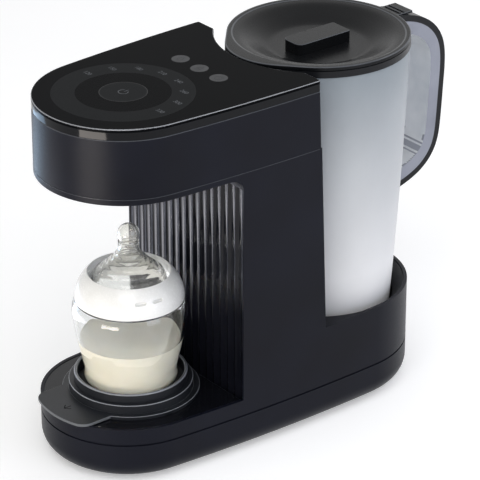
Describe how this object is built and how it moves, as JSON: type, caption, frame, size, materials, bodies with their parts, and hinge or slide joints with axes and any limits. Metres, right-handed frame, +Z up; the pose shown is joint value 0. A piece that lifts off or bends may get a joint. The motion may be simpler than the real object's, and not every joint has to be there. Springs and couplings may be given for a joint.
{
  "type": "baby formula maker",
  "caption": "Countertop formula maker with a touch dial head over a telescoping bottle stand, a baby bottle, and a lift-off water jug with lid and handle.",
  "frame": {"origin": "centre of the bounding box, on the table", "axes": "+Z up, the bottle toward -Y, the jug and its handle toward +Y, X across"},
  "size_m": [0.1274, 0.327, 0.254],
  "materials": {
    "shell_plastic": "satin blue-black moulded plastic",
    "gloss_black": "gloss black moulded plastic",
    "stand_plastic": "satin dark grey moulded plastic",
    "rubber_dark": "matt moulded rubber",
    "screw_steel": "zinc plated steel",
    "board_green": "lacquered circuit board",
    "black_part": "plain black moulded plastic",
    "tap_plastic": "pale natural moulded plastic",
    "seal_silicone": "translucent silicone",
    "hose_silicone": "translucent silicone tube",
    "boiler_steel": "drawn stainless steel",
    "bracket_steel": "folded sheet steel",
    "pump_case": "painted steel can",
    "bottle_clear": "clear polished plastic",
    "milk": "cream liquid, drawn as a solid",
    "collar_white": "white moulded plastic",
    "teat_silicone": "clear silicone",
    "jug_frosted": "frosted translucent plastic",
    "band_black": "satin black moulded plastic",
    "core_frosted": "frosted translucent plastic",
    "valve_plastic": "pale moulded plastic",
    "spring_steel": "drawn stainless wire",
    "lid_plastic": "satin dark grey moulded plastic"
  },
  "bodies": {
    "base": {"rubber_feet": "rubber_dark", "lower_shell": "shell_plastic", "base_screws": "screw_steel", "body_shell": "shell_plastic", "column_back": "shell_plastic", "fluted_panel": "gloss_black", "deck_plate": "gloss_black", "head_underside": "shell_plastic", "head_shell": "shell_plastic", "trim_band": "gloss_black", "touch_plate": "gloss_black", "touch_board": "board_green", "beeper": "black_part", "nozzle_shroud": "stand_plastic", "outlet_nozzle": "tap_plastic", "jug_seat": "stand_plastic", "inlet_coupling": "tap_plastic", "inlet_seal": "seal_silicone", "boiler": "boiler_steel", "boiler_bracket": "bracket_steel", "thermostat": "black_part", "pump": "pump_case", "pump_mounts": "rubber_dark", "flow_meter": "tap_plastic", "power_board": "board_green", "seat_hose": "hose_silicone", "riser_hose": "hose_silicone", "outlet_hose": "hose_silicone", "cord_gland": "rubber_dark"},
    "tray": {"tray_ring": "stand_plastic"},
    "ring": {"middle_ring": "stand_plastic"},
    "cup": {"cup": "stand_plastic", "cup_mat": "rubber_dark"},
    "bottle": {"bottle_body": "bottle_clear", "milk": "milk", "bottle_collar": "collar_white", "teat": "teat_silicone"},
    "jug": {"jug_body": "jug_frosted", "jug_band": "band_black", "handle_core": "core_frosted", "valve_housing": "valve_plastic", "valve_spring": "spring_steel"},
    "lid": {"lid": "lid_plastic", "lid_grip": "lid_plastic", "lid_seal": "seal_silicone"},
    "valve": {"valve_poppet": "valve_plastic"}
  },
  "joints": [
    {"name": "tray_lift", "type": "slide", "parent": "base", "child": "tray", "axis": [0, 0, 1], "range_m": [0, 0.016]},
    {"name": "ring_raise", "type": "slide", "parent": "tray", "child": "ring", "axis": [0, 0, 1], "range_m": [0, 0.006]},
    {"name": "cup_raise", "type": "slide", "parent": "ring", "child": "cup", "axis": [0, 0, 1], "range_m": [0, 0.006]},
    {"name": "bottle_lift", "type": "slide", "parent": "cup", "child": "bottle", "axis": [0, 0, 1], "range_m": [0, 0.009]},
    {"name": "jug_lift", "type": "slide", "parent": "base", "child": "jug", "axis": [0, 0, 1], "range_m": [0, 0.08]},
    {"name": "lid_lift", "type": "slide", "parent": "jug", "child": "lid", "axis": [0, 0, 1], "range_m": [0, 0.06]},
    {"name": "valve_open", "type": "slide", "parent": "jug", "child": "valve", "axis": [0, 0, 1], "range_m": [0, 0.0023], "stiffness_N_per_m": 200, "springref_m": -0.003, "deforming": ["valve_spring"]}
  ]
}
